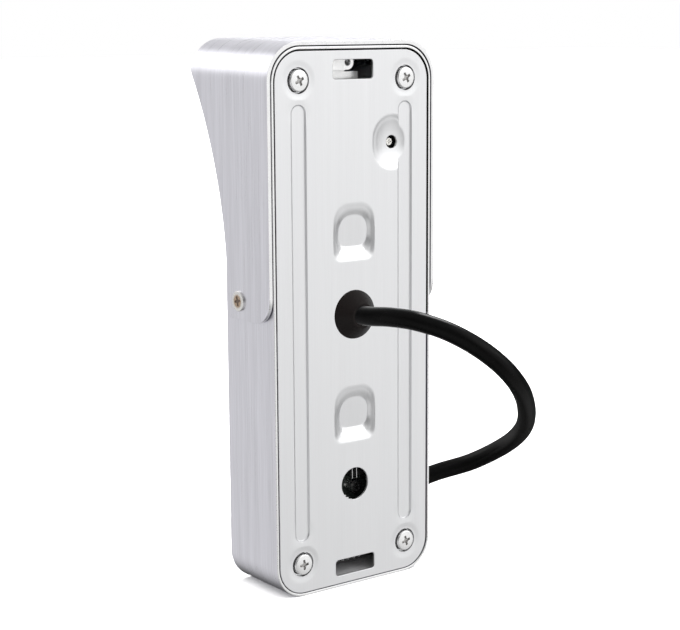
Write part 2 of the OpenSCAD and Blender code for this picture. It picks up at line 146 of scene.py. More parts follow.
# Soft light from a direction: (towards, full inside this angle, none outside this angle, strength).
GLOWS = (
    ((-0.58, 0.79, 0.07), 15, 42, 0.83),
    ((0.58, -0.80, -0.05), 20, 60, 0.58),
    ((-0.45, -0.80, 0.42), 10, 32, 0.42),
    ((0.38, -0.80, 0.46), 9, 23, 1.20),
    ((-0.55, 0.55, 0.60), 10, 35, 1.00),
    ((-0.50, 0.28, -0.80), 12, 44, 0.40),
    ((-0.88, 0.38, 0.33), 6, 19, 0.70),
    ((-0.18, 0.90, 0.40), 6, 19, 0.60),
    ((0.50, 0.85, -0.17), 10, 40, 0.12),
    ((0.86, 0.48, -0.17), 10, 34, 0.14),
    ((0.50, 0.60, -0.62), 14, 44, 0.45),
    ((0.95, -0.10, -0.30), 14, 44, 0.35),
    ((-0.50, -0.33, 0.78), 6, 19, 14.00),
)


def world():
    """A studio of soft boxes round a grey room, and plain white where the camera looks past the floor."""
    made = bpy.data.worlds.new("studio")
    made.use_nodes = True
    tree = made.node_tree
    towards = add(tree, "TexCoord").outputs["Generated"]
    height = add(tree, "SeparateXYZ", Vector=towards).outputs["Z"]
    light = span(tree, height, 0.2, 0.9, 0.10, 0.6)
    for aim, inner, outer, strength in GLOWS:
        dot = vector_math(tree, "DOT_PRODUCT", towards, Vector(aim).normalized(), "Value")
        edges = math.cos(math.radians(outer)), math.cos(math.radians(inner))
        light = math_node(tree, "ADD", light, span(tree, dot, *edges, 0.0, strength))
    seen = add(tree, "LightPath").outputs["Is Camera Ray"]
    level = add(tree, "Mix", {"data_type": "FLOAT"}, i0=seen, i2=light, i3=1.0).outputs[0]
    back = tree.nodes["Background"]
    tree.links.new(level, back.inputs["Color"])
    bpy.context.scene.world = made


def sky_lamp(aim, spread, power):
    """Wide soft light from above for all that isn't metal; metal reflects the world's glows."""
    data = bpy.data.lights.new("sky_lamp", "SUN")
    data.angle = math.radians(spread)
    data.energy = power
    made = linked("sky_lamp", data)
    made.rotation_mode = "QUATERNION"
    made.rotation_quaternion = Vector(aim).to_track_quat("-Z", "Y")
    made.visible_glossy = False


def floor():
    """A plain white floor. Metal reflects the grey room below it instead."""
    mesh = bpy.data.meshes.new("floor")
    size = 6
    corners = [(size * x, size * y, 0) for x, y in ((-1, -1), (1, -1), (1, 1), (-1, 1))]
    mesh.from_pydata(corners, [], [(0, 1, 2, 3)])
    made = linked("floor", mesh)
    made.visible_glossy = False
    paint = bpy.data.materials.new("floor_paint")
    paint.use_nodes = True
    shader = paint.node_tree.nodes["Principled BSDF"]
    shader.inputs["Base Color"].default_value = (0.97, 0.97, 0.97, 1)
    shader.inputs["Roughness"].default_value = 0.9
    shader.inputs["Specular IOR Level"].default_value = 0
    mesh.materials.append(paint)


def studio():
    bpy.context.scene.view_settings.view_transform = "Standard"
    camera()
    world()
    floor()
    sky_lamp((-0.15, -0.75, -1), 90, 6.0)


# ---- materials


def material(name, colour, roughness, metallic=0.0, **constants):
    """A Principled material, its tree, and the position that its patterns follow, in metres."""
    made = bpy.data.materials.new(name)
    made.use_nodes = True
    tree = made.node_tree
    shader = tree.nodes["Principled BSDF"]
    shader.inputs["Base Color"].default_value = (*colour, 1)
    shader.inputs["Roughness"].default_value = roughness
    shader.inputs["Metallic"].default_value = metallic
    for key, value in constants.items():
        shader.inputs[key.replace("_", " ")].default_value = value
    return made, tree, shader, add(tree, "TexCoord").outputs["Object"]


def noise(tree, place, scale, detail=2.0, roughness=0.5):
    """Noise whose pattern repeats about `scale` times a metre along x, y and z."""
    if not isinstance(scale, tuple):
        scale = (scale,) * 3
    stretched = add(tree, "Mapping", Vector=place, Scale=scale).outputs["Vector"]
    return add(
        tree, "TexNoise", Vector=stretched, Scale=1.0, Detail=detail, Roughness=roughness
    ).outputs["Fac"]


def shade(tree, shader, value, colour, amount):
    """The colour, lighter and darker by `amount` as value goes from 0.3 to 0.7."""
    light = span(tree, value, 0.3, 0.7, 1 - amount, 1 + amount, "LINEAR")
    tinted = add(
        tree, "VectorMath", {"operation": "SCALE"}, i0=colour, Scale=light
    ).outputs["Vector"]
    tree.links.new(tinted, shader.inputs["Base Color"])


def roughen(tree, shader, value, low, high):
    tree.links.new(span(tree, value, 0.3, 0.7, low, high, "LINEAR"), shader.inputs["Roughness"])


def bump(tree, shader, value, depth):
    """Relief `depth` metres high."""
    made = add(tree, "Bump", Height=value, Distance=depth, Strength=1.0)
    tree.links.new(made.outputs["Normal"], shader.inputs["Normal"])


def brushed(name, colour, roughness, grain, streak, depth):
    """Brushed metal. grain is how often a streak comes along x, y and z, per metre."""
    made, tree, shader, place = material(name, colour, roughness, 1.0)
    fine = noise(tree, place, grain, 3.0)
    broad = noise(tree, place, tuple(g * 0.16 for g in grain))
    mixed = add(tree, "Mix", {"data_type": "FLOAT"}, i0=0.45, i2=fine, i3=broad).outputs[0]
    shade(tree, shader, mixed, colour, streak)
    roughen(tree, shader, fine, roughness - 0.05, roughness + 0.05)
    bump(tree, shader, fine, depth)
    return made


def plated(name, colour, roughness):
    """Smooth plated or cast metal with faint mottling."""
    made, tree, shader, place = material(name, colour, roughness, 1.0)
    fine = noise(tree, place, 2600.0, 3.0)
    broad = noise(tree, place, 420.0)
    shade(tree, shader, broad, colour, 0.04)
    roughen(tree, shader, fine, roughness * 0.75, roughness * 1.25)
    bump(tree, shader, fine, 0.000002)
    return made


def moulded(name, colour, roughness, grain=1500.0, depth=0.000008, **constants):
    """Moulded plastic or rubber with a fine skin."""
    made, tree, shader, place = material(name, colour, roughness, **constants)
    fine = noise(tree, place, grain, 4.0, 0.6)
    broad = noise(tree, place, 160.0)
    shade(tree, shader, broad, colour, 0.08)
    roughen(tree, shader, fine, roughness * 0.85, min(1.0, roughness * 1.15))
    bump(tree, shader, fine, depth)
    return made


# ---- outlines and mesh builders


class Outline:
    """A rectangle with round corners in the x-z plane, in millimetres, given by its centre, half size and
    corner radii: one, or one each for the corners +x+z, -x+z, -x-z and +x-z. With no size it is a point,
    whose rings are circles."""

    def __init__(self, at, half, radii=0.0):
        self.at = np.array(at, float)
        self.half = np.array(half, float)
        self.radii = np.ones(4) * radii

    def distance(self, p):
        """How far each point lies outside the outline, below zero inside."""
        q = p - self.at
        right, upper = q[:, 0] > 0, q[:, 1] > 0
        corner = np.where(upper, np.where(right, 0, 1), np.where(right, 3, 2))
        r = self.radii[corner]
        a = np.abs(q) - self.half + r[:, None]
        return np.minimum(a.max(1), 0) + np.hypot(*np.maximum(a, 0).T) - r

    def ring(self, grow=0.0, arc=12, side=1):
        """The outline grown by `grow`, anticlockwise, in `arc` steps round each corner and `side` along
        each side."""
        corners = []
        for k, sign in enumerate(((1, 1), (-1, 1), (-1, -1), (1, -1))):
            r = max(self.radii[k] + grow, 0.0)
            centre = self.at + np.array(sign) * (self.half + grow - r)
            turns = [math.radians(90 * (k + step / arc)) for step in range(arc + 1)]
            corners.append([centre + r * np.array((math.cos(t), math.sin(t))) for t in turns])
        points = []
        for corner, following in zip(corners, corners[1:] + corners[:1]):
            first, last = corner[-1], following[0]
            points += corner + [first + (last - first) * j / side for j in range(1, side)]
        return np.array(points)

    def grown(self, grow):
        return Outline(self.at, self.half + grow, np.maximum(self.radii + grow, 0))


def circle(at, radius=0.0):
    return Outline(at, (radius, radius), radius)


def new_object(name, points, faces, paint, slot, place=None, body="station"):
    """A smooth mesh object that rides on a body. Its points are in the drawing's millimetres, once
    `place`, a matrix, has carried them there."""
    place = place or Matrix.Identity(4)
    mesh = bpy.data.meshes.new(name)
    mesh.from_pydata([spot(*(place @ Vector(p))) for p in points], [], [tuple(map(int, f)) for f in faces])
    mesh.polygons.foreach_set("use_smooth", [True] * len(mesh.polygons))
    mesh.materials.append(paint)
    made = linked(name, mesh)
    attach(made, body)
    return made


def crisp(made, angle=35):
    """Sharp where faces meet at more than `angle` degrees, flat shading on the large faces elsewhere."""
    made.data.set_sharp_from_angle(angle=math.radians(angle))
    weighted = made.modifiers.new("shading", "WEIGHTED_NORMAL")
    weighted.keep_sharp = True
    return made


def filleted(profile, steps=4):
    """A profile's points (a, b) or (a, b, radius), with an arc for each radius."""
    done = []
    for k, point in enumerate(profile):
        here = Vector(point[:2])
        if len(point) < 3 or point[2] == 0:
            done.append(here)
            continue
        back = (Vector(profile[k - 1][:2]) - here).normalized()
        on = (Vector(profile[(k + 1) % len(profile)][:2]) - here).normalized()
        half = back.angle(on) / 2
        reach = point[2] / math.tan(half)
        centre = here + (back + on).normalized() * point[2] / math.sin(half)
        start, end = here + back * reach - centre, here + on * reach - centre
        for j in range(steps + 1):
            done.append(centre + start.slerp(end, j / steps) * point[2])
    return done


def loft(outline, profile, arc=12, side=1, closed=False, steps=4):
    """Points and faces of an outline's rings, grown and moved along y as the profile (grow, y) says.
    A profile that isn't closed is capped at both ends."""
    rows = filleted(profile, steps)
    points, rings = [], []
    for grow, y in rows:
        around = outline.ring(grow, arc, side)
        if np.ptp(around, axis=0).max() < 1e-6:
            around = around[:1]
        rings.append(range(len(points), len(points) + len(around)))
        points += [(x, y, z) for x, z in around]
    faces = []
    pairs = list(zip(rings, rings[1:])) + ([(rings[-1], rings[0])] if closed else [])
    for one, two in pairs:
        n = max(len(one), len(two))
        for k in range(n):
            j = (k + 1) % n
            quad = [one[k % len(one)], two[k % len(two)], two[j % len(two)], one[j % len(one)]]
            faces.append(list(dict.fromkeys(quad)))
    if not closed:
        faces += [list(r) for r in (rings[0], rings[-1][::-1]) if len(r) > 2]
    return points, [f for f in faces if len(f) > 2]


def joined(parts):
    """Several (points, faces) as one."""
    points, faces = [], []
    for more, their_faces in parts:
        faces += [[i + len(points) for i in f] for f in their_faces]
        points += list(more)
    return points, faces


def tidy_mesh(made):
    """Merges doubled points and turns every face outwards."""
    mesh = bmesh.new()
    mesh.from_mesh(made.data)
    bmesh.ops.remove_doubles(mesh, verts=mesh.verts, dist=1e-7)
    bmesh.ops.recalc_face_normals(mesh, faces=mesh.faces)
    mesh.to_mesh(made.data)
    mesh.free()
    return made


def lofted(name, outline, profile, paint, arc=12, side=1, closed=False, steps=4, **where):
    """The object of a loft, with its edges crisp."""
    points, faces = loft(outline, profile, arc, side, closed, steps)
    return crisp(tidy_mesh(new_object(name, points, faces, paint, **where)))


def turned(name, at, profile, paint, arc=16, **options):
    """A piece turned about a line along Y through at (x, z), from its profile (radius, y)."""
    return lofted(name, Outline(at, (0, 0)), profile, paint, arc, **options)


def several(name, shapes, paint, angle=35, **where):
    """One object made of many (points, faces), such as a row of pins."""
    points, faces = joined(shapes)
    return crisp(tidy_mesh(new_object(name, points, faces, paint, **where)), angle)


def bevel(made, width, segments, angle):
    """Rounds the edges where faces meet at more than `angle` degrees. The width is in millimetres."""
    edges = made.modifiers.new("edges", "BEVEL")
    edges.width = width * MM
    edges.segments = segments
    edges.angle_limit = math.radians(angle)
    return edges


def eased(t):
    return t * t * (3 - 2 * t)


# A relief has this many steps round each corner of an outline, and this many down each pressed wall.
CORNER_STEPS = 14
WALL_STEPS = 10
# The steepest slope that a relief is shaded with, where its edge turns over.
STEEPEST = 4.0


class Press:
    """A pressed feature: its wall falls from the outer outline to the inner one as `curve` says, and inside
    that it is `depth` deep, or deeper by `tilt` for each millimetre down."""

    def __init__(self, outer, inner, depth, curve=eased, tilt=0.0):
        self.outer, self.inner, self.depth, self.curve, self.tilt = outer, inner, depth, curve, tilt

    def drop(self, p):
        inside = np.maximum(-self.outer.distance(p), 0)
        outside = np.maximum(self.inner.distance(p), 0)
        t = inside / np.maximum(inside + outside, 1e-9)
        return (self.depth + self.tilt * (self.inner.at[1] - p[:, 1])) * self.curve(t)

    def rings(self, side):
        """Rings from the outer outline to the inner one, where the wall needs points."""
        one, two = self.outer.ring(0, CORNER_STEPS, side), self.inner.ring(0, CORNER_STEPS, side)
        return [one + (two - one) * k / WALL_STEPS for k in range(WALL_STEPS + 1)]


def pressed(outline, depth, outer, inner):
    """A press whose wall runs from `outer` outside the outline to `inner` inside it."""
    return Press(outline.grown(outer), outline.grown(-inner), depth)


def triangulated(loops, rims):
    """Points and triangles of the flat between the rims, with an edge along every loop."""
    flat = [Vector(p) for loop in loops for p in loop]
    lines, count = [], 0
    for loop in loops:
        lines += [(count + k, count + (k + 1) % len(loop)) for k in range(len(loop))]
        count += len(loop)
    flat, _, triangles, *_ = geometry.delaunay_2d_cdt(flat, lines, [], 0, 1e-5)
    flat = np.array([tuple(p) for p in flat])
    triangles = np.array(triangles)
    centres = flat[triangles].mean(1)
    a, b, c = (flat[triangles[:, k]] for k in range(3))
    doubled = (b[:, 0] - a[:, 0]) * (c[:, 1] - a[:, 1]) - (b[:, 1] - a[:, 1]) * (c[:, 0] - a[:, 0])
    keep = np.abs(doubled) > 1e-9
    for rim, sign in rims:
        keep &= rim.distance(centres) * sign > 0
    return flat, np.where(doubled[:, None] > 0, triangles[:, ::-1], triangles)[keep]


def relief(outline, presses=(), cuts=(), edge=0.15, thick=1.0, base=None, rings=(), side=1):
    """A sheet in the x-z plane facing +y, with its pressed features, its holes and its rounded edges.
    Returns its points (y = 0 on the flat), faces and exact normals. `base` gives the height before
    pressing."""
    rims = [(outline, -1)] + [(cut, 1) for cut in cuts]

    def height(p):
        level = base(p) if base else np.zeros(len(p))
        y = level
        for press in presses:
            y = np.minimum(y, level - press.drop(p))
        return y

    def rolled(p):
        fall = np.zeros(len(p))
        for rim, sign in rims:
            inside = np.clip(rim.distance(p) * sign, 0, edge)
            fall = np.maximum(fall, edge - np.sqrt(np.maximum(edge**2 - (edge - inside) ** 2, 0)))
        return height(p) - fall

    shares = (0, 0.06, 0.25, 0.55, 1)
    loops = [rim.ring(sign * edge * k, CORNER_STEPS, side) for rim, sign in rims for k in shares]
    for press in presses:
        loops += press.rings(side)
    flat, triangles = triangulated(loops + list(rings), rims)

    tiny = 0.0002
    slope = [(rolled(flat + step) - rolled(flat - step)) / (2 * tiny) for step in ((tiny, 0), (0, tiny))]
    slope = np.clip(slope, -STEEPEST, STEEPEST)
    normals = np.stack((-slope[0], np.ones(len(flat)), -slope[1]), 1)
    normals /= np.linalg.norm(normals, axis=1)[:, None]
    front = np.stack((flat[:, 0], rolled(flat), flat[:, 1]), 1)
    back = np.stack((flat[:, 0], height(flat) - thick, flat[:, 1]), 1)

    edges = dict.fromkeys(pair for i, j, k in triangles for pair in ((i, j), (j, k), (k, i)))
    wall, wall_normals, walls = [], [], []
    for i, j in (pair for pair in edges if pair[::-1] not in edges):
        along = flat[j] - flat[i]
        first = 2 * len(flat) + len(wall)
        wall += [front[i], front[j], back[j], back[i]]
        wall_normals += [(-along[1], 0, along[0])] * 4
        walls.append((first + 1, first, first + 3, first + 2))
    points = np.concatenate([front, back, np.array(wall)])
    all_normals = np.concatenate([normals, -normals, np.array(wall_normals)])
    faces = triangles.tolist() + (triangles[:, ::-1] + len(flat)).tolist() + walls
    return points, faces, all_normals


def relief_object(name, made, paint, place=None, **where):
    """The object of a relief, with its exact normals."""
    points, faces, normals = made
    place = place or Matrix.Identity(4)
    turn = place.to_3x3()
    used = sorted({i for f in faces for i in f})
    renumbered = {old: new for new, old in enumerate(used)}
    faces = [[renumbered[i] for i in f] for f in faces]
    piece = new_object(name, [points[i] for i in used], faces, paint, place=place, **where)
    piece.data.normals_split_custom_set_from_vertices([turn @ Vector(normals[i]) for i in used])
    return piece


def unseen_by_metal(made):
    """Keeps a black piece's reflection and shadow off the bright metal, as the photograph shows it."""
    made.visible_glossy = False
    made.visible_shadow = False


# ---- cable

# The cable's centre line, from its inner end to the plug, as the part lays it in its drawing.
ROUTE = [
    (0, -3, 66.3), (0, 1, 66.3), (-0.2, 6, 66.6), (-1.4, 12, 67.1), (-4.2, 18.2, 66.7),
    (-9, 23.8, 64.5), (-15, 27.8, 60.4), (-21.6, 28.9, 55.1), (-28.6, 26.6, 49.1),
    (-35.4, 21.5, 42.9), (-41.8, 14.4, 36.4), (-46.6, 6, 30.6), (-48.5, -2.5, 25.4),
    (-46.6, -11.5, 20.2), (-41, -20, 16.2), (-34.2, -28, 11.1), (-27, -34.8, 6.2),
    (-22.9, -37.8, 4.2), (-19, -40, 3.5),
]
CABLE_D = 0.0046
PLUG_TURN = -29.4  # the way that the plug points, in degrees


def cable(paint, ribs):
    """The cable, as a round curve along its route, in place of the CAD cable. `ribs`, the plug's ribs, is
    not used.
    """
    data = bpy.data.curves.new("cable_jacket", "CURVE")
    data.dimensions = "3D"
    data.bevel_depth = CABLE_D / 2 - 0.03 * MM  # inside the part's own tube
    data.bevel_resolution = 7
    data.resolution_u = 10
    data.use_fill_caps = True
    line = data.splines.new("BEZIER")
    line.bezier_points.add(len(ROUTE) - 1)
    route = [spot(*p) for p in ROUTE]
    padded = [2 * route[0] - route[1], *route, 2 * route[-1] - route[-2]]
    for k, point in enumerate(line.bezier_points):
        before, here, after = padded[k : k + 3]
        point.co = here
        point.handle_left_type = point.handle_right_type = "FREE"
        point.handle_left = here - (after - before) / 6
        point.handle_right = here + (after - before) / 6
    data.materials.append(paint)
    made = linked("cable_jacket", data)
    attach(made, "station")
    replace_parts(made, "cable")
    unseen_by_metal(made)


# ---- back plate and its screws

PLATE_MID = 64.45
PLATE_HALF = (22.0, 63.45)
PLATE_R = 7.0
PLATE_Y = -0.15
GROOVE_X = 15.4
GROOVE_Z = (13.3, 115.9)
GROOVE_HALF_W = 2.05
GROOVE_DEPTH = 0.48
PAD_Z = (42.2, 85.8)
ACCESS_Z = 25  # the round hole over the board
SEAT_DEPTH = 1.2  # of the screws' seats, below the plate
# Each back plate screw: across, up, and how far its cross is turned, in degrees.
PLATE_SCREWS = ((-15.4, 7.8, 15), (15.4, 7.8, 4), (-15.4, 121.3, 30), (15.4, 121.3, 27))


def creased(t, sharp=2.2, crease=0.86):
    """Soft at the top, steepest just above a tight crease at the bottom."""
    slope = sharp * crease ** (sharp - 1)
    whole = crease**sharp + slope * (1 - crease) / 2
    left = np.clip((1 - t) / (1 - crease), 0, 1)
    return np.where(t < crease, t**sharp, whole - slope * (1 - crease) * left**2 / 2) / whole


def bowl(t, shelf=0.24, share=0.32):
    """A soft roll down to a shelf at the rim, then a bowl that grows ever flatter towards the middle."""
    inner = np.clip((t - shelf) / (1 - shelf), 0, 1)
    return share * eased(np.minimum(t / shelf, 1)) + (1 - share) * (2 * inner - inner**2)


def stepped(t):
    """A low step at the outside, then a gentle fall, then the crease."""
    return 0.17 * eased(np.minimum(t / 0.4, 1)) + 0.83 * creased(t)


def pad(z):
    """A pressed pad: a rounded oblong whose soft walls run down to a flat with an arched top."""
    return Press(
        Outline((-0.05, z + 0.1), (6.25, 7.1), (4.4, 4.4, 2.4, 2.4)),
        Outline((-0.45, z + 0.3), (4.1, 3.55), (3.6, 3.6, 2.4, 2.4)),
        1.05, stepped, 0.08,
    )


def plate_presses(dish_at):
    """Two grooves with softer ends, two pads, the trimmer's dish, and a soft dimple and a seat for each
    screw."""
    half_h = (GROOVE_Z[1] - GROOVE_Z[0]) / 2
    presses = []
    for s in (-1, 1):
        top, bottom = (
            Outline((s * GROOVE_X + shift, sum(GROOVE_Z) / 2), (GROOVE_HALF_W, half_h), GROOVE_HALF_W)
            for shift in (0.15, -0.12)
        )
        presses.append(Press(top.grown(0.15), bottom.grown(-0.3), GROOVE_DEPTH))
    for s in (-1, 1):
        for z in (GROOVE_Z[0] + 2.1, GROOVE_Z[1] - 2.1):
            presses.append(pressed(circle((s * GROOVE_X, z), 2.2), 0.1, 1.6, 1.2))
    presses += map(pad, PAD_Z)
    dish_rim = Outline((dish_at[0] + 0.65, dish_at[1]), (6.15, 6.9), 6.15)
    presses.append(Press(dish_rim, circle(dish_at, 0.3), 1.05, bowl))
    for x, z, _ in PLATE_SCREWS:
        presses.append(pressed(circle((x, z), 3.7), 0.12, 1.1, 0.65))
        presses.append(pressed(circle((x, z), 2.98), SEAT_DEPTH, 0.03, 0.1))
    return presses


def back_plate(paint):
    """The pressed plate, with holes over the trimmer, the board and the cable, and two hanging slots."""
    trimmer = middle("trimmer_rotor")
    dish_at = (trimmer.x, trimmer.z)
    holes = [
        circle(dish_at, 1.55),
        circle((0, ACCESS_Z), 3.9),
        circle((0, middle("cable_grommet").z), 4.5),
        Outline((0, 123.55), (5.8, 2.25), 0.8),
        Outline((0, 4.75), (5.8, 1.95), 0.8),
    ]
    outline = Outline((0, PLATE_MID - 0.1), (PLATE_HALF[0], PLATE_HALF[1] + 0.1), PLATE_R)
    made = relief(outline, plate_presses(dish_at), holes, edge=0.14, thick=0.5, side=3)
    place = Matrix.Translation((0, PLATE_Y, 0))
    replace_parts(relief_object("back_plate_pressed", made, paint, place, slot="plate_steel"), "back_plate")


def screw_head(name, place, paints, slot, head_r, head_h):
    """A slightly domed head with a cross recess, whose flanks and floor have the second paint: darker, as
    painted shade in the recess.
    """
    bulge = 0.1 * head_h
    arm = (0.50 * head_r, 0.13 * head_r)
    deep = min(0.3 * head_h, 0.45)
    recess = [
        pressed(Outline((0, 0), half, 0.06 * head_r), deep, 0.01 * head_r, 0.06 * head_r)
        for half in (arm, arm[::-1])
    ]
    recess.append(pressed(circle((0, 0), 0.27 * head_r), deep, 0.01 * head_r, 0.12 * head_r))
    made = relief(
        circle((0, 0), head_r), recess, edge=min(0.24 * head_h, 0.3), thick=head_h - bulge,
        rings=[circle((0, 0)).ring(head_r * k, CORNER_STEPS) for k in (0.65, 0.8)],
        base=lambda p: -bulge * (p**2).sum(1) / head_r**2,
    )
    points, faces, _ = made
    place = place @ Matrix.Translation((0, head_h, 0))
    top = relief_object(name, made, paints[0], place, slot=slot)
    top.data.materials.append(paints[1])
    for face, corners in zip(top.data.polygons, faces):
        # Deep faces of the cross recess take the darker paint: painted shade in the cross.
        inside = max(math.hypot(points[i][0], points[i][2]) for i in corners) < 0.7 * head_r
        face.material_index = int(inside and max(points[i][1] for i in corners) < -0.3 * deep)
    return top


def screw_thread(name, place, paint, slot, radius, length):
    """A screw's thread, as rings, down from the origin of `place`."""
    root = radius - 0.14 * radius
    pitch = 0.36 * radius
    profile = [(0, 0), (root, 0)]
    for k in range(int(length / pitch) - 2):
        profile += [(radius, -pitch * (k + 0.75)), (root, -pitch * (k + 1.25))]
    profile += [(radius * 0.3, -length), (0, -length)]
    return turned(name, (0, 0), profile, paint, arc=6, place=place, slot=slot)


def cross_screw(name, node, place, paints, slot, head, thread):
    """A cross-recess screw in place of one in a CAD node. It stands on the origin of `place` with its head
    facing +y. paints are the metal's and the recess's painted shade; head and thread are each a radius and a
    length."""
    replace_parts(screw_head(name + "_head", place, paints, slot, *head), node)
    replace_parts(screw_thread(name + "_thread", place, paints[0], slot, *thread), node)


def back_screws(paints, shade_ring):
    """Four cross-recess screws, each on a black washer-shaped ring in its dimple, which is painted shade
    round the head.
    """
    node = "back_plate_screws"
    seat_y = PLATE_Y - SEAT_DEPTH
    head = (2.5, extent(node)[1].y - seat_y)
    for k, (x, z, turn) in enumerate(PLATE_SCREWS):
        place = Matrix.Translation((x, seat_y, z)) @ Matrix.Rotation(math.radians(turn), 4, "Y")
        cross_screw(f"back_screw_{k + 1}", node, place, paints, "screw_nickel", head, (1.2, 8.5))
    # Black rings round the heads, in the seats: painted shade round each head.
    ring = [(1.5, seat_y - 0.05), (2.64, seat_y - 0.05), (2.64, seat_y + 0.4, 0.05), (1.5, seat_y + 0.4)]
    shapes = [loft(circle((x, z)), ring, 12, closed=True) for x, z, _ in PLATE_SCREWS]
    several("screw_shade_rings", shapes, shade_ring, slot="seal_rubber")


# ---- case and hood

CASE_HALF = (23.0, 64.45)
CASE_R = 8.0
FRONT_Y = -20.0
CAVITY_Y = -17.6
WALL = 2.0
RIM = 0.65  # the wall's thickness beside the plate


def case_walls(paints):
    """The walls, with a step inside the rear rim that the plate lies in. paints are those of the outside,
    the rim's sawn face, the painted shade (black) in the step beside the hood, and the inside."""
    outline = Outline((0, PLATE_MID), CASE_HALF, CASE_R)
    profile = [
        (-WALL, CAVITY_Y), (-WALL, -1.75, 0.2), (-RIM, -1.75, 0.1), (-RIM, 0, 0.12), (0, 0, 0.18),
        (0, CAVITY_Y),
    ]
    walls = lofted("case_walls", outline, profile, paints[0], 14, 6, closed=True, slot="housing_aluminium")
    for paint in paints[1:]:
        walls.data.materials.append(paint)
    for face in walls.data.polygons:
        inwards = -outline.distance(np.array([(face.center.x / MM, face.center.z / MM)]))[0]
        beside_hood = face.center.z > HOOD_BOTTOM * MM and face.normal.z < 0.3
        if inwards > WALL - 0.1:
            face.material_index = 3
        # The step's inner face beside the hood takes the black: painted shade in the gap under the hood.
        elif inwards > RIM - 0.05 and beside_hood and face.center.y > REAR - 2 * MM:
            face.material_index = 2
        elif face.normal.y > 0.5:
            face.material_index = 1
    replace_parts(walls, "front_housing")


def case_front(paint):
    """The front wall, with the holes for the window, the button's ring, the microphone and the sound."""
    pitch = 3.2
    row_pitch = pitch * math.sin(math.radians(60))
    rows = 3
    speaker = middle("speaker_cone")
    grille = [
        circle(((k - (2 * rows - abs(row)) / 2) * pitch, speaker.z + row * row_pitch), 0.7)
        for row in range(-rows, rows + 1)
        for k in range(2 * rows + 1 - abs(row))
    ]
    cuts = [
        Outline((0, middle("camera_window").z), (18.1, 17.1), 4.1),
        circle((0, middle("call_button").z), 12.45),
        circle((0, middle("microphone").z), 0.75),
        *grille,
    ]
    outline = Outline((0, PLATE_MID), CASE_HALF, CASE_R)
    made = relief(outline, (), cuts, edge=0.35, thick=CAVITY_Y - FRONT_Y, side=6)
    place = Matrix.Translation((0, FRONT_Y, 0)) @ Matrix.Rotation(math.pi, 4, "Z")
    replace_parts(relief_object("case_front", made, paint, place, slot="housing_aluminium"), "front_housing")


def case_bosses(casting):
    """Bosses and posts inside: for the back plate, the main board, the button's board and the bracket."""
    bosses = [(x, z, 2.8, PLATE_Y - 2.25) for x, z, _ in PLATE_SCREWS]
    bosses += [(s * 16.5, z, 2.2, -7.2) for s in (-1, 1) for z in (20, 84)]
    bosses += [(s * 10.5, z, 1.9, -12) for s in (-1, 1) for z in (11.5, 43.5)]
    bosses += [(s * 18.2, middle("camera_window").z, 2.2, -8.9) for s in (-1, 1)]
    shapes = []
    for x, z, r, top in bosses:
        profile = [(1.5, CAVITY_Y), (r, CAVITY_Y), (r, top, 0.3), (1.5, top)]
        shapes.append(loft(circle((x, z)), profile, 6, closed=True))
    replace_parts(several("case_bosses", shapes, casting, slot="housing_aluminium"), "front_housing")


HOOD_TOP = 130.05
HOOD_HALF_W = 24.15
HOOD_R = 8.9
HOOD_DEPTH = 32.4
HOOD_BOTTOM = 66.0
HOOD_FOOT = 17.6
HOOD_SHEET = 0.9
HOOD_RISE = math.tan(math.radians(1.2))
SWEEP_R = 95.0
SWEEP_Z = 71.8
# Radii of each side wall's lower corners, and the height where the sides begin to share the top's rise.
HOOD_FRONT_CORNER = 1.5
HOOD_REAR_CORNER = 6.0
LIFT_Z = 100


def hood_front_y(z):
    """How far the side wall's front edge reaches at height z: straight, then a wide hollow curve."""
    corner = HOOD_FRONT_CORNER
    if z < HOOD_BOTTOM + corner:
        low = HOOD_BOTTOM + corner - z
        return -HOOD_FOOT + corner - math.sqrt(max(corner**2 - low**2, 0))
    if z < SWEEP_Z:
        return -HOOD_FOOT
    across = math.sqrt(max(SWEEP_R**2 - (z - SWEEP_Z) ** 2, 0))
    return max(-HOOD_DEPTH, across - SWEEP_R - HOOD_FOOT)


def hood_rear_y(z):
    """How far back the side wall reaches at height z: to the case's rim, with a round lower corner."""
    corner = HOOD_REAR_CORNER
    low = HOOD_BOTTOM + corner - z
    return 0.0 if low < 0 else math.sqrt(max(corner**2 - low**2, 0)) - corner


def hood_side_heights():
    """Heights of the rows up one side, closer together round the lower corners."""
    rounds = [(HOOD_FRONT_CORNER, t) for t in range(0, 91, 15)]
    rounds += [(HOOD_REAR_CORNER, t) for t in range(45, 91, 5)]
    corners = [HOOD_BOTTOM + r * (1 - math.cos(math.radians(t))) for r, t in rounds]
    straight = np.linspace(HOOD_BOTTOM + HOOD_REAR_CORNER + 0.5, HOOD_TOP - HOOD_R, 36)
    return sorted({round(z, 4) for z in [*corners, *straight]})


def hood_section(inset, arc=16):
    """Half of the hood's section as (x, z, lift), from the left side's foot to the middle of the top. lift
    says how much of the top's rise a point takes part in."""
    section = []
    for z in hood_side_heights():
        section.append((HOOD_HALF_W - inset, z, max((z - LIFT_Z) / (HOOD_TOP - HOOD_R - LIFT_Z), 0)))
    for k in range(1, arc + 1):
        turn = math.radians(90 * k / arc)
        x = HOOD_HALF_W - HOOD_R + (HOOD_R - inset) * math.cos(turn)
        section.append((x, HOOD_TOP - HOOD_R + (HOOD_R - inset) * math.sin(turn), 1))
    return section + [(x, HOOD_TOP - inset, 1) for x in (10.0, 5.0, 0.0)]


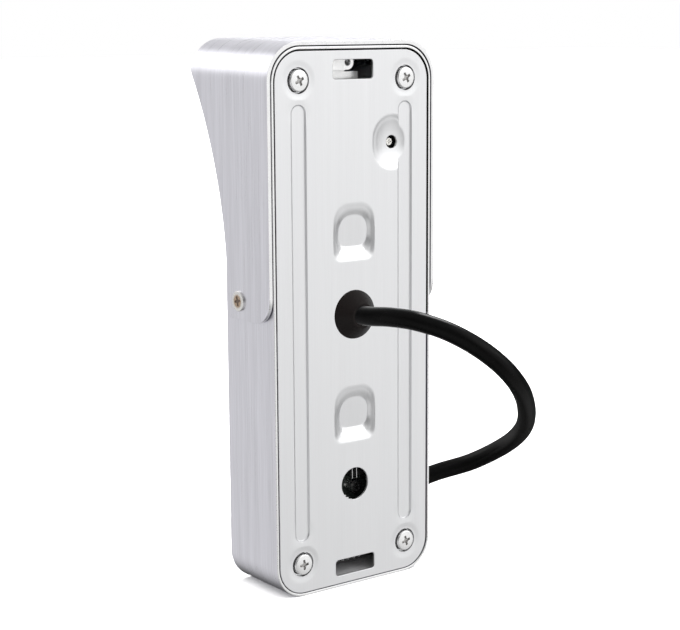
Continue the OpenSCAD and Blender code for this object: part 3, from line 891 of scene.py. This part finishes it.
def folded_sheet(front, rear, inset=0.0, columns=20):
    """Points and faces of a sheet folded over the case, between front(z) and rear(z), whose top rises
    towards the front."""
    half = hood_section(inset)
    section = half + [(-x, z, lift) for x, z, lift in half[-2::-1]]
    points = []
    for x, z, lift in section:
        for k in range(columns + 1):
            y = front(z) + (rear(z) - front(z)) * k / columns
            points.append((x, y, z - y * HOOD_RISE * lift))
    faces = []
    for i in range(len(section) - 1):
        for k in range(columns):
            a = i * (columns + 1) + k
            faces.append((a, a + 1, a + columns + 2, a + columns + 1))
    return points, faces


def thicken(made, thick):
    """Gives a folded sheet its thickness, inwards."""
    sheet = made.modifiers.new("sheet", "SOLIDIFY")
    sheet.thickness = thick * MM
    sheet.offset = -1 if made.data.polygons[0].normal.x > 0 else 1
    sheet.use_even_offset = True
    sheet.material_offset_rim = 1
    return made


def rain_hood(paint, cut_metal, gap_shade):
    """The folded hood, and a thin black sheet in the gap between it and the case: painted shade in the gap.
    """
    made = tidy_mesh(
        new_object("rain_hood_sheet", *folded_sheet(hood_front_y, hood_rear_y), paint, slot="hood_aluminium")
    )
    made.data.materials.append(cut_metal)
    thicken(made, HOOD_SHEET)
    bevel(made, 0.1, 2, 50)
    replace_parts(crisp(made, 50), "rain_hood")

    # A black sheet under the hood's rear edge, above its lower corners: painted shade in the gap.
    under = folded_sheet(lambda z: -8.0, lambda z: -0.7 if z > 73 else -8.0, HOOD_SHEET + 0.02, 2)
    made = tidy_mesh(new_object("hood_gap_shade", *under, gap_shade, slot="seal_rubber"))
    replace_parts(thicken(made, 0.2), "rain_hood")


def hood_screws(paints):
    """Two screws, one through each side of the hood."""
    node = "hood_screws"
    head = (2.4, extent(node)[1].x - HOOD_HALF_W)
    for side, word in ((1, "left"), (-1, "right")):
        turn = Matrix.Rotation(-side * math.pi / 2, 4, "Z") @ Matrix.Rotation(math.radians(12), 4, "Y")
        place = Matrix.Translation((side * HOOD_HALF_W, -12.7, 70.3)) @ turn
        cross_screw(f"hood_screw_{word}", node, place, paints, "hood_screw_steel", head, (1.2, 4.2))


# ---- grommet

def grommet(paint):
    """The cone round the cable, its groove in the back plate, and its flange behind it."""
    profile = [
        (2.3, -2.35), (5.9, -2.35, 0.2), (5.9, -1.15, 0.1), (4.4, -1.15), (4.4, -0.12), (5.85, -0.12, 0.05),
        (5.75, 0.3, 0.2), (4.6, 1.55, 6), (3.2, 2.95, 0.6), (2.9, 3.2, 0.1), (2.3, 3.2),
    ]
    at = (0, middle("cable_grommet").z)
    made = turned("grommet", at, profile, paint, arc=20, closed=True, steps=6, slot="grommet_rubber")
    unseen_by_metal(made)
    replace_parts(made, "cable_grommet")


# ---- front pieces


def window_print(paint):
    """The black print behind the camera window, with a clear circle for the lens and the lamps."""
    behind = extent("camera_window")[1].y + 0.02
    at = middle("camera_window")
    outline = Outline((at.x, at.z), (17.4, 16.4), 3.4)
    made = relief(outline, (), [circle((at.x, at.z), 13.5)], edge=0.01, thick=0.08)
    place = Matrix.Translation((0, behind, 0)) @ Matrix.Rotation(math.pi, 4, "Z")
    relief_object("window_print", made, paint, place, slot="black_plastic")


def bell_outline(size):
    """A plain bell, as half of its outline, mirrored."""

    def arc(x, z, wide, high, turns):
        turns = [math.radians(t) for t in turns]
        return [(x + wide * math.cos(t), z + high * math.sin(t)) for t in turns]

    half = [(0, 1.0), (0.1, 0.98), (0.13, 0.86), *arc(0.13, 0.34, 0.42, 0.52, range(80, -1, -10))]
    half += [(0.57, 0.0), (0.64, -0.3), (0.84, -0.5), (0.84, -0.6), (0.3, -0.6)]
    half += arc(0, -0.64, 0.26, 0.24, range(0, -91, -15))
    right = [(x * size, z * size) for x, z in half]
    return right[::-1] + [(-x, z) for x, z in right[1:-1]]


def bell(paint):
    """A bell inlaid in the call button's face."""
    at = middle("call_button")
    rim = bell_outline(3.6)
    n = len(rim)
    points = [(at.x + x, FRONT_Y + y, at.z + z) for y in (-0.68, -0.5) for x, z in rim]
    faces = [range(n), range(2 * n - 1, n - 1, -1)]
    faces = [list(f) for f in faces] + [(k, (k + 1) % n, n + (k + 1) % n, n + k) for k in range(n)]
    made = tidy_mesh(new_object("button_bell", points, faces, paint, body="button", slot="black_plastic"))
    made.data.polygons.foreach_set("use_smooth", [False] * len(made.data.polygons))


def plug_ribs(paint):
    """Ribs round the cable plug's neck, which points along the plug from its rear end."""
    place = Matrix.Translation(ROUTE[-1]) @ Matrix.Rotation(math.radians(PLUG_TURN - 90), 4, "Z")
    shapes = []
    for k in range(5):
        y = -1.6 + 1.25 * k
        profile = [(2.6, y), (3.4, y, 0.15), (3.4, y + 0.7, 0.15), (2.6, y + 0.7)]
        shapes.append(loft(circle((0, 0)), profile, 10, closed=True))
    return several("plug_ribs", shapes, paint, place=place, slot="plug_plastic")


def tube(path, radius, around=8):
    """Points and faces of a round rod along a path."""
    path = [Vector(p) for p in path]
    last = len(path) - 1
    points = []
    for k, here in enumerate(path):
        along = (path[min(k + 1, last)] - path[max(k - 1, 0)]).normalized()
        side = along.cross(Vector((0.3, 1, 0.2))).normalized()
        up = side.cross(along)
        for j in range(around):
            turn = math.tau * j / around
            points.append(here + radius * (math.cos(turn) * side + math.sin(turn) * up))
    faces = []
    for a in range(0, last * around, around):
        for j in range(around):
            i = (j + 1) % around
            faces.append((a + j, a + i, a + around + i, a + around + j))
    end = last * around
    faces += [tuple(range(around)), tuple(range(end + around - 1, end - 1, -1))]
    return points, faces


def behind_access_hole(tin, shade_pad):
    """Leads coiled at one side behind the access hole, two thin component legs, and a black pad in front of
    a capacitor: painted shade, which keeps the capacitor's glint out of the dark hole."""
    loops = []
    for k in range(6):
        r, y = 4.0 - 0.42 * k, -2.0 - 0.5 * k
        turns = np.radians(np.linspace(-100 + 8 * k, 75 + 6 * k, 24))
        loops.append(tube([(0.4 + r * math.cos(t), y, 24.6 + r * math.sin(t)) for t in turns], 0.17))
    several("coiled_leads", loops, tin, 60, slot="screw_nickel")
    legs = [
        tube([(x, -3.0, 33), (x, -2.4, 29.5), (x - 0.1, -2.4, 25.6), (x - 0.3, -4.4, 25.0)], 0.11, 6)
        for x in (-0.8, -2.1)
    ]
    several("component_legs", legs, tin, 60, slot="screw_nickel")
    # A black pad in front of the capacitor: painted shade behind the hole.
    profile = [(0, -3.4), (0, -2.7, 0.3), (-1.5, -2.7)]
    lofted("capacitor_shade_pad", Outline((-2.7, 28.2), (2.3, 2.4), 0.6), profile, shade_pad, 6, slot="seal_rubber")


def behind_lower_slot(plastic, tin):
    """The microphone's connector and its pins, behind the lower slot."""
    outline = Outline((-0.8, 5.2), (4.3, 1.1), 0.3)
    profile = [(0, -9), (0, -4.6, 0.25), (-1.0, -4.6)]
    lofted("microphone_connector", outline, profile, plastic, 4, slot="black_plastic")
    across = (-4.2, -2.5, -0.8, 0.9, 2.6)
    pins = [tube([(x, -8, 4.2), (x, -4.0, 4.9), (x, -3.6, 5.9)], 0.14, 6) for x in across]
    several("microphone_pins", pins, tin, 60, slot="screw_nickel")


def button_coil(paint):
    """The call button's coil spring, a wire wound round the node's middle, in place of the CAD spring."""
    node = "button_spring"
    at = middle(node)
    start, end = (corner.y for corner in extent(node))
    wire, radius, turns = 0.35, 6.0, 4
    path = []
    for k in range(16 * turns + 1):
        turn = math.tau * k / 16
        y = start + wire + (end - start - 2 * wire) * k / (16 * turns)
        path.append((at.x + radius * math.cos(turn), y, at.z + radius * math.sin(turn)))
    made = several("button_coil", [tube(path, wire - 0.01)], paint, 60, slot="spring_steel")
    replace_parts(made, node)
    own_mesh(made)


# ---- paints of the smaller pieces


def flat_place(tree, place):
    """The position with z in place of y, so that flat patterns lie across the case."""
    parts = add(tree, "SeparateXYZ", Vector=place).outputs
    return add(tree, "CombineXYZ", X=parts["X"], Y=parts["Z"]).outputs[0]


def mixed_colour(tree, share, one, two):
    sockets = {"i0": share, "i6": one, "i7": two}
    return add(tree, "Mix", {"data_type": "RGBA"}, **sockets).outputs[2]


def circuit_board(name):
    """Black solder mask with tracks and tinned pads."""
    made, tree, shader, place = material(name, (0.008, 0.010, 0.009), 0.32)
    across = flat_place(tree, place)
    tracks = add(
        tree, "TexBrick", Vector=across, Scale=330.0, Mortar_Size=0.035, Mortar_Smooth=0.1
    ).outputs["Fac"]
    spots = add(tree, "TexVoronoi", Vector=across, Scale=420.0, Randomness=0.75).outputs["Distance"]
    pads = span(tree, spots, 0.20, 0.23, 1.0, 0.0)
    mask = mixed_colour(tree, tracks, (0.008, 0.010, 0.009, 1), (0.022, 0.028, 0.025, 1))
    tree.links.new(mixed_colour(tree, pads, mask, (0.72, 0.72, 0.70, 1)), shader.inputs["Base Color"])
    tree.links.new(math_node(tree, "MULTIPLY", pads, 0.9), shader.inputs["Metallic"])
    bump(tree, shader, math_node(tree, "ADD", tracks, pads), 0.00003)
    return made


def woven(name, colour):
    """Fine woven cloth."""
    made, tree, shader, place = material(name, colour, 0.85)
    across = flat_place(tree, place)
    threads = [
        add(tree, "TexWave", {"bands_direction": way}, Vector=across, Scale=420.0).outputs["Fac"]
        for way in ("X", "Y")
    ]
    weave = math_node(tree, "MAXIMUM", *threads)
    shade(tree, shader, weave, colour, 0.5)
    bump(tree, shader, weave, 0.00006)
    return made


def from_axis(tree, place, node, counted):
    """How far the position is from a node's middle, along the axes that are 1 in `counted`."""
    low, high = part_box(node)
    away = vector_math(tree, "SUBTRACT", place, (low + high) / 2)
    return vector_math(tree, "LENGTH", vector_math(tree, "MULTIPLY", away, counted), output="Value")


def spun(name, colour, roughness, node):
    """Metal with fine rings round a node's middle."""
    made, tree, shader, place = material(name, colour, roughness, 1.0)
    radius = from_axis(tree, place, node, (1, 0, 1))
    rings = noise(tree, add(tree, "CombineXYZ", X=radius).outputs[0], 9000.0, 3.0)
    shade(tree, shader, rings, colour, 0.08)
    roughen(tree, shader, rings, roughness * 0.8, roughness * 1.2)
    bump(tree, shader, rings, 0.000006)
    return made


def ringed_screw(name, dark, bright, roughness):
    """Bronze-coloured metal, lighter from about 1.5 mm outwards from the hood screws' axis."""
    made, tree, shader, place = material(name, dark, roughness, 1.0)
    radius = from_axis(tree, place, "hood_screws", (0, 1, 1))
    mottle = noise(tree, place, 3000.0, 3.0)
    uneven = math_node(tree, "MULTIPLY_ADD", mottle, 0.0005, radius)
    outer_share = span(tree, uneven, 0.0015, 0.0021, 0.0, 1.0)
    tree.links.new(mixed_colour(tree, outer_share, (*dark, 1), (*bright, 1)), shader.inputs["Base Color"])
    roughen(tree, shader, mottle, roughness * 0.8, roughness * 1.3)
    bump(tree, shader, mottle, 0.000012)
    return made


def clear(name, colour, roughness, ior, **constants):
    """Clear plastic or glass, with the faintest waviness."""
    constants.update(Transmission_Weight=0.96, IOR=ior)
    made, tree, shader, place = material(name, colour, roughness, **constants)
    haze = noise(tree, place, 700.0)
    roughen(tree, shader, haze, roughness * 0.7, roughness * 1.3)
    bump(tree, shader, haze, 0.0000005)
    return made


# ---- all of it


def paint_nodes():
    """Materials of the CAD nodes that stay."""
    for paint, names in NODE_PAINT:
        for name in names.split():
            for held in frame["nodes"][name].material_slots:
                held.material = paint


def soften_nodes(names, width):
    """Rounds the edges of CAD nodes that stay."""
    for name in names.split():
        bevel(frame["nodes"][name], width, 3, 40).harden_normals = True


PLATE = brushed("pressed_plate", (0.91, 0.915, 0.925), 0.38, (2600, 2600, 60), 0.028, 0.0000002)
CASE = brushed("case_aluminium", (0.80, 0.795, 0.85), 0.32, (2400, 2400, 60), 0.10, 0.0000015)
HOOD = brushed("hood_aluminium", (0.80, 0.795, 0.85), 0.32, (60, 2400, 60), 0.10, 0.0000015)
CUT = brushed("sawn_edge", (0.97, 0.97, 0.97), 0.30, (2500, 2500, 2500), 0.06, 0.000004)
SCREW = plated("nickel_plate", (0.98, 0.98, 0.98), 0.26)
HOOD_SCREW = ringed_screw("bronzed_steel", (0.50, 0.38, 0.28), (0.86, 0.85, 0.83), 0.25)
# Grey for the back screws' cross recesses: painted shade.
RECESS_SHADE = plated("screw_recess_painted_shade", (0.50, 0.49, 0.48), 0.3)
# Dark bronze for the hood screws' cross recesses: painted shade.
HOOD_RECESS_SHADE = plated("hood_recess_painted_shade", (0.20, 0.15, 0.12), 0.3)
CASTING = moulded("raw_casting", (0.50, 0.50, 0.51), 0.5, Metallic=0.4)
METAL = plated("tinned_steel", (0.85, 0.85, 0.84), 0.25)
BRACKET = moulded("bracket_steel", (0.82, 0.82, 0.82), 0.22, Metallic=0.8)
BRASS = plated("brass", (0.80, 0.60, 0.28), 0.22)
STEEL = plated("grey_steel", (0.50, 0.50, 0.50), 0.30)
RUBBER = moulded("seal_rubber", (0.006, 0.006, 0.006), 0.6)
# Black that stands for shade: painted shade in the case's step beside the hood, on the sheet under the hood,
# and on the pad behind the access hole.
SHADE_BLACK = moulded("painted_shade_black", (0.004, 0.004, 0.004), 0.7, Specular_IOR_Level=0.1)
GROMMET = moulded("grommet_rubber", (0.0035, 0.0026, 0.0024), 0.40, depth=0.000001, Specular_IOR_Level=0.12)
JACKET = moulded("cable_skin", (0.0010, 0.0010, 0.0010), 0.24, depth=0.0000003, Specular_IOR_Level=0.08)
PLASTIC = moulded("black_plastic", (0.012, 0.012, 0.012), 0.40)
IVORY = moulded("ivory_nylon", (0.80, 0.76, 0.64), 0.42)
RESIN = moulded("chip_resin", (0.02, 0.02, 0.021), 0.55, grain=4000.0)
BOARD = circuit_board("circuit_board")

NODE_PAINT = (
    (RUBBER, "back_gasket window_seal microphone_boot speaker_surround"),
    (PLASTIC, "cable_plug lens_barrel lens_holder switch_body"),
    (BRASS, "plug_contacts board_spacers"),
    (BOARD, "main_board camera_board button_board infrared_board"),
    (SCREW, "bracket_screws button_board_screws main_board_screws"),
    (BRACKET, "camera_bracket"),
    (METAL, "microphone board_capacitors"),
    (STEEL, "speaker_basket"),
    (IVORY, "board_connector cable_socket cable_socket_plug"),
    (RESIN, "board_chips"),
    (clear("smoked_acrylic", (0.42, 0.42, 0.45), 0.03, 1.49), "camera_window"),
    (clear("lens_glass", (0.62, 0.66, 0.85), 0.02, 1.6, Coat_Weight=0.6), "lens_glass"),
    (clear("lamp_resin", (0.30, 0.20, 0.42), 0.08, 1.5), "infrared_lamps"),
    (moulded("sensor_cover", (0.10, 0.13, 0.18), 0.12), "image_sensor"),
    (moulded("sensor_ceramic", (0.66, 0.46, 0.30), 0.35), "light_sensor"),
    (moulded("cone_paper", (0.05, 0.05, 0.052), 0.8, depth=0.00002), "speaker_cone"),
    (moulded("ferrite", (0.11, 0.11, 0.115), 0.5, depth=0.00001), "speaker_magnet"),
    (woven("grille_cloth", (0.03, 0.03, 0.032)), "speaker_mesh"),
    (spun("button_metal", (0.86, 0.86, 0.87), 0.24, "call_button"), "call_button"),
    (
        moulded("ring_diffuser", (0.78, 0.86, 0.93), 0.35, Subsurface_Weight=0.6, Subsurface_Scale=0.002),
        "button_light_ring",
    ),
    (moulded("red_plastic", (0.42, 0.09, 0.05), 0.4), "switch_plunger"),
    (moulded("lamp_body", (0.85, 0.82, 0.55), 0.35), "button_leds"),
    (moulded("wire_insulation", (0.50, 0.03, 0.025), 0.38), "inner_wires"),
    (moulded("trimmer_case", (0.01, 0.01, 0.011), 0.35), "trimmer_body"),
    (moulded("trimmer_metal", (0.62, 0.61, 0.58), 0.3, Metallic=0.6), "trimmer_rotor"),
)

studio()
cable(JACKET, plug_ribs(PLASTIC))
paint_nodes()
soften_nodes("camera_window button_light_ring cable_plug", 0.25)
soften_nodes("call_button lens_barrel camera_bracket", 0.12)
back_plate(PLATE)
back_screws((SCREW, RECESS_SHADE), RUBBER)
case_walls((CASE, CUT, SHADE_BLACK, CASTING))
case_front(CASE)
case_bosses(CASTING)
rain_hood(HOOD, CUT, SHADE_BLACK)
hood_screws((HOOD_SCREW, HOOD_RECESS_SHADE))
grommet(GROMMET)
window_print(PLASTIC)
bell(PLASTIC)
behind_access_hole(SCREW, SHADE_BLACK)
behind_lower_slot(PLASTIC, SCREW)
button_coil(METAL)
